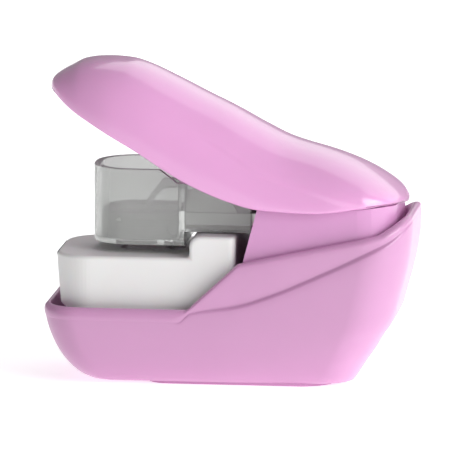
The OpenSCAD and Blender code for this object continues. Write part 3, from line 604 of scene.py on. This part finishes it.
def slotCutters():
    s, blade = tableSettings["slot"], tableSettings["blade"]
    x0, x1, h, t = bladeLow[0] - s, bladeHigh[0] + s, bladeHigh[1] + s, blade + 2 * s
    tab = [(x0, -h), (x1, -h), (x1, t - h), (x0 + t, t - h), (x0 + t, h - t), (x1, h - t), (x1, h), (x0, h)]
    sx, sh, st = (slitLow[0] + slitHigh[0]) / 2, slitHigh[1] + s, blade / 2 + s
    e, front, rear = tableSettings["eyeHalf"], sx - tableSettings["eyeFront"], sx + tableSettings["eyeRear"]
    cross = [(sx - st, -sh), (sx + st, -sh), (sx + st, -e), (rear, -e), (rear, e), (sx + st, e),
             (sx + st, sh), (sx - st, sh), (sx - st, e), (front, e), (front, -e), (sx - st, -e)]
    return [prism("slot", outline, "xy", 20, 40) for outline in (tab, cross)]


def nearOutline(p, width):  # true for points on the rounded outline of the table
    r, near = tableSettings["corner"], tableSettings["nearby"]
    across, along = abs(p.y) - (width / 2 - r), tableLow[0] + r - p.x
    if across > 0 and along > 0:
        return math.hypot(across, along) > r - near
    return abs(p.y) > width / 2 - near or p.x < tableLow[0] + near or p.x > tableHigh[0] - near


def buildTable():
    s = tableSettings
    width = tableHigh[1] - tableLow[1]
    body = prism("paperTable", tableSide(0, tableLow[2] + 1.2), "xz", -30, 30)
    plan = roundedPlan(tableLow[0], tableHigh[0], width, s["corner"], 1.5)
    cutWith(body, prism("plan", plan, "xy", -5, 60), "INTERSECT")
    core = prism("core", tableSide(s["wall"], tableLow[2] - 0.8), "xz", -30, 30)
    plan = roundedPlan(tableLow[0] + s["wall"], tableHigh[0] - s["wall"], width - 2 * s["wall"], 7.1, 0.5)
    cutWith(core, prism("plan", plan, "xy", -10, 60), "INTERSECT")
    cutWith(body, core)
    for cutter in slotCutters():
        cutWith(body, cutter)
    weights = body.data.attributes.new("bevel_weight_edge", "FLOAT", "EDGE")
    for edge in body.data.edges:  # only the outer top edges are rounded
        a, b = (body.data.vertices[k].co / mm for k in edge.vertices)
        outer = nearOutline(a, width) and nearOutline(b, width)
        weights.data[edge.index].value = 1.0 if min(a.z, b.z) > s["topZ"] - 0.05 and outer else 0.0
    bevel = addBevel(body, s["edge"], 5, 50)
    bevel.limit_method = "WEIGHT"
    bevel.use_clamp_overlap = False
    applyModifiers(body)
    return body


table = buildTable()
addNormals(table)
table.data.materials.append(whiteTable)
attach(table, "platform")
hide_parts("paper_table")


def lathe(name, profile, place, columns=40):  # [radius, z] profile turned about a standing axis
    turns = [2 * math.pi * k / columns for k in range(columns)]
    verts = [(place[0] + r * math.cos(a), place[1] + r * math.sin(a), z) for a in turns for r, z in profile]
    return newPiece(name, verts, ringFaces(columns, len(profile)))


def buildSleeves():
    top = tableSettings["topZ"] - tableSettings["wall"] - 0.05
    low = tableLow[2]
    profile = [(1.65, low + 0.2), (1.8, low), (2.4, low), (2.6, low + 0.2), (2.6, top), (1.65, top)]
    for name, x in (("sleeveFront", postLow[0] + 1.5), ("sleeveRear", postHigh[0] - 1.5)):
        sleeve = lathe(name, profile, (x, 0))
        addBevel(sleeve, 0.05, 1, 50)
        sleeve.data.materials.append(whiteTable)
        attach(sleeve, "platform")


buildSleeves()
print("paper table built")


# CAD nodes that keep their shape get soft edges and a finish

def finishNode(node, material, edge=0.12, segments=2):
    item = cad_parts[node]
    item.data.materials.clear()
    item.data.materials.append(material)
    for face in item.data.polygons:
        face.use_smooth = True
    weld = item.modifiers.new("weld", "WELD")
    weld.merge_threshold = 0.004 * mm
    if edge:
        addBevel(item, edge, segments, 35)
    addNormals(item)


nodeFinish = {
    "bottom_cover": (pinkBase, 0.25), "chassis": (sheetSteel, 0.15), "cover_screws": (screwSteel, 0.08),
    "blade_block": (holderGrey, 0.2), "tab_cutter": (groundSteel, 0.03), "slit_blade": (groundSteel, 0.03),
    "blade_screws": (screwSteel, 0.08), "hinge_pin": (turnedSteel, 0.1), "pin_clips": (springSteel, 0.06),
    "guide_posts": (turnedSteel, 0.15), "die_plate": (sheetSteel, 0.06), "clear_guide": (guideClear, 0.2),
    "guide_block": (blockClear, 0.08), "spacer_plate": (spacerBrown, 0.08),
    "pressure_bracket": (sheetSteel, 0.15), "guide_screws": (screwSteel, 0.08),
    "folder_pin": (turnedSteel, 0.08), "folder_spring": (springSteel, 0), "tab_folder": (guideClear, 0.15),
    "handle_frame": (pinkSkirt, 0.25), "press_lever": (sheetSteel, 0.12), "press_roller": (turnedSteel, 0.12),
    "roller_pin": (turnedSteel, 0.08), "pivot_bushes": (bushBrass, 0.08), "lever_screws": (screwSteel, 0.08),
    "trip_finger": (holderGrey, 0.15), "platform_springs": (springSteel, 0),
}
for node, (material, edge) in nodeFinish.items():
    finishNode(node, material, edge)
print("CAD nodes finished")


# stage, light and camera

def buildStage():
    material, tree, shader = newMaterial("paleFloor", Roughness=0.8, Emission_Color=(1, 1, 1, 1),
                                         Emission_Strength=0.6)
    dust = addNoise(tree, 6, 4)
    addRamp(tree, dust.outputs["Fac"], 0.3, 0.7, [(0.93, 0.93, 0.93, 1), (0.95, 0.95, 0.95, 1)],
            shader.inputs["Base Color"])
    ring = [(2500 * math.cos(a * math.pi / 48), 2500 * math.sin(a * math.pi / 48), 0) for a in range(96)]
    floor = newPiece("floor", ring, [tuple(range(96))], smooth=False)
    floor.data.materials.append(material)


def addLamp(name, place, target, size, power, colour=(1, 1, 1)):
    lamp = bpy.data.lights.new(name, "AREA")
    lamp.shape = "RECTANGLE"
    lamp.size, lamp.size_y = size
    lamp.energy = power
    lamp.color = colour
    item = bpy.data.objects.new(name, lamp)
    item.location = Vector(place) * mm
    item.rotation_euler = (Vector(target) - Vector(place)).to_track_quat("-Z", "Y").to_euler()
    bpy.context.scene.collection.objects.link(item)


lightSettings = {
    "rightBox": ((560, -250, 230), (0, 0, 30), (0.5, 0.4), 1.8),
    "topBox": ((240, 430, 420), (10, 0, 50), (0.8, 0.6), 1.4),
}
sunSettings = {"from": (1.0, -0.6, 0.55), "strength": 1.15, "angle": 45}
worldSettings = {"fill": (0.9, 0.9, 0.9), "strength": 0.3}


def addSun():
    sun = bpy.data.lights.new("sun", "SUN")
    sun.energy = sunSettings["strength"]
    sun.angle = math.radians(sunSettings["angle"])
    item = bpy.data.objects.new("sun", sun)
    item.rotation_euler = (-Vector(sunSettings["from"])).to_track_quat("-Z", "Y").to_euler()
    bpy.context.scene.collection.objects.link(item)


def buildWorld():
    world = bpy.data.worlds.new("studio")
    bpy.context.scene.world = world
    world.use_nodes = True
    tree = world.node_tree
    fill = tree.nodes["Background"]
    fill.inputs["Color"].default_value = (*worldSettings["fill"], 1)
    fill.inputs["Strength"].default_value = worldSettings["strength"]
    seen = tree.nodes.new("ShaderNodeBackground")
    seen.inputs["Color"].default_value = (1, 1, 1, 1)
    seen.inputs["Strength"].default_value = 1.0
    path = tree.nodes.new("ShaderNodeLightPath")
    mix = tree.nodes.new("ShaderNodeMixShader")
    tree.links.new(path.outputs["Is Camera Ray"], mix.inputs["Fac"])
    tree.links.new(fill.outputs["Background"], mix.inputs[1])
    tree.links.new(seen.outputs["Background"], mix.inputs[2])
    tree.links.new(mix.outputs["Shader"], tree.nodes["World Output"].inputs["Surface"])


cameraSettings = {
    "azimuth": 7.3, "elevation": 9.85, "distance": 2000, "aim": (-1.8, 0, 32.1),
    "scale": 0.2124, "across": 450, "sensor": 36,
}


def buildCamera():
    s = cameraSettings
    a, e = math.radians(s["azimuth"]), math.radians(s["elevation"])
    back = Vector((math.sin(a) * math.cos(e), -math.cos(a) * math.cos(e), math.sin(e)))
    data = bpy.data.cameras.new("camera")
    data.sensor_width = s["sensor"]
    data.lens = s["distance"] / s["scale"] * s["sensor"] / s["across"]
    item = bpy.data.objects.new("camera", data)
    item.location = (Vector(s["aim"]) + back * s["distance"]) * mm
    item.rotation_euler = (-back).to_track_quat("-Z", "Y").to_euler()
    bpy.context.scene.collection.objects.link(item)
    bpy.context.scene.camera = item


buildStage()
for name, (place, target, size, power) in lightSettings.items():
    addLamp(name, place, target, size, power)
addSun()
buildWorld()
buildCamera()
bpy.context.scene.view_settings.view_transform = "Standard"
print("stage, light and camera set")
